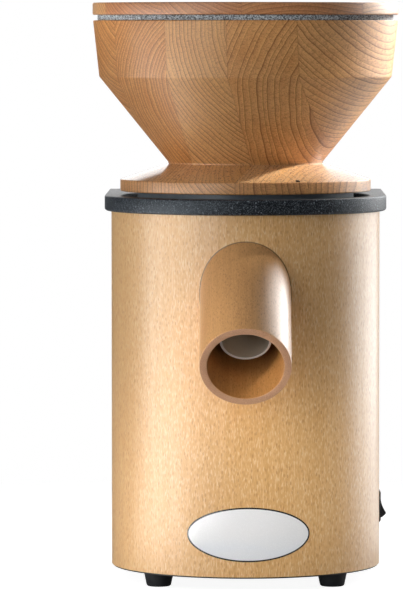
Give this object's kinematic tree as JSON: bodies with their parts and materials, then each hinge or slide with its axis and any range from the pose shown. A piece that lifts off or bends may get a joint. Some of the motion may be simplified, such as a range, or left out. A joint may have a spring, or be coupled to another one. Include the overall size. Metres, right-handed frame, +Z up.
{
  "type": "electric grain mill",
  "caption": "Tabletop stone mill with a turned wooden hopper that screws up or down to set the grind, a slanted wooden spout and a rocker switch.",
  "frame": {"origin": "middle of the footprint's box, on the surface that the feet stand on", "axes": "+Z up, the spout and the badge face -Y, the switch is on the +X side"},
  "size_m": [0.2136, 0.2816, 0.4032],
  "materials": {
    "shell_veneer": "satin oiled beech veneer",
    "panel_wood": "satin beech plywood",
    "hopper_wood": "oiled turned beech",
    "spout_wood": "oiled turned beech",
    "felt": "pressed wool felt, speckled",
    "plate_composite": "fine speckled texture",
    "ring_plastic": "satin moulded plastic",
    "base_plastic": "moulded plastic",
    "foot_rubber": "matt rubber",
    "liner_plastic": "smooth moulded plastic",
    "badge_face": "bare enamelled plate",
    "switch_plastic": "moulded plastic",
    "steel": "zinc-plated steel",
    "cast_aluminium": "die cast",
    "brass": "turned brass",
    "stone": "corundum in ceramic",
    "core_steel": "laminated electrical steel",
    "copper": "enamelled copper wire",
    "bearing_steel": "ground steel",
    "white_plastic": "moulded plastic",
    "lead_insulation": "insulated wire"
  },
  "bodies": {
    "housing": {"housing_shell": "shell_veneer", "back_panel": "panel_wood", "back_battens": "panel_wood", "back_screws": "steel", "base_plate": "base_plastic", "feet": "foot_rubber", "tie_bolts": "steel", "plate_inserts": "brass", "top_plate": "plate_composite", "milling_chamber": "cast_aluminium", "chamber_gasket": "foot_rubber", "chamber_screws": "steel", "shaft_seal": "felt", "spout": "spout_wood", "chute_liner": "liner_plastic", "chute_collar": "base_plastic", "badge_plate": "badge_face", "switch_frame": "switch_plastic", "switch_blades": "brass", "motor_upper_bell": "cast_aluminium", "motor_lower_bell": "cast_aluminium", "motor_screws": "steel", "through_bolts": "steel", "stator_core": "core_steel", "stator_windings": "copper", "bearing_outer_rings": "bearing_steel", "fan_shroud": "steel", "run_capacitor": "white_plastic", "capacitor_clip": "base_plastic", "capacitor_screws": "steel", "terminal_block": "white_plastic", "terminal_screws": "brass", "motor_leads": "lead_insulation", "switch_leads": "lead_insulation", "capacitor_leads": "lead_insulation", "cable_gland": "base_plastic", "gland_nut": "base_plastic", "adjust_springs": "steel"},
    "fixed_stone": {"upper_stone": "stone", "stone_holder": "ring_plastic"},
    "hopper": {"adjusting_ring": "ring_plastic", "ring_screws": "steel", "hopper_base": "hopper_wood", "hopper_bowl": "hopper_wood", "index_pin": "base_plastic"},
    "lid": {"lid": "hopper_wood", "felt_seal": "felt"},
    "rotor": {"rotor_core": "core_steel", "rotor_rings": "cast_aluminium", "motor_shaft": "steel", "bearing_inner_rings": "bearing_steel", "cooling_fan": "ring_plastic", "fan_clip": "steel", "lower_stone": "stone", "stone_carrier": "cast_aluminium", "stone_bolt": "steel", "drive_key": "steel"},
    "ball_set": {"bearing_balls": "bearing_steel", "bearing_cages": "brass"},
    "rocker": {"switch_rocker": "switch_plastic"}
  },
  "joints": [
    {"name": "stone_rise", "type": "slide", "parent": "housing", "child": "fixed_stone", "axis": [0, 0, 1], "range_m": [-0.00013, 0.00251], "deforming": ["adjust_springs"]},
    {"name": "hopper_turn", "type": "hinge", "parent": "fixed_stone", "child": "hopper", "pos_m": [0, 0.01782, 0.25], "axis": [0, 0, 1], "range_deg": [-15, 300]},
    {"name": "lid_lift", "type": "slide", "parent": "hopper", "child": "lid", "axis": [0, 0, 1], "range_m": [0, 0.08]},
    {"name": "rotor_spin", "type": "hinge", "parent": "housing", "child": "rotor", "pos_m": [0, 0.01782, 0.25], "axis": [0, 0, 1], "continuous": true},
    {"name": "ball_roll", "type": "hinge", "parent": "housing", "child": "ball_set", "pos_m": [0, 0.01782, 0.25], "axis": [0, 0, 1], "continuous": true},
    {"name": "rocker_tilt", "type": "hinge", "parent": "housing", "child": "rocker", "pos_m": [0.0919, 0.04181, 0.048], "axis": [0, 1, 0], "range_deg": [0, 32]}
  ],
  "couplings": [
    {"joint": "stone_rise", "follows": "hopper_turn", "m_per_rad": 0.00047746},
    {"joint": "ball_roll", "follows": "rotor_spin", "ratio": 0.404}
  ]
}
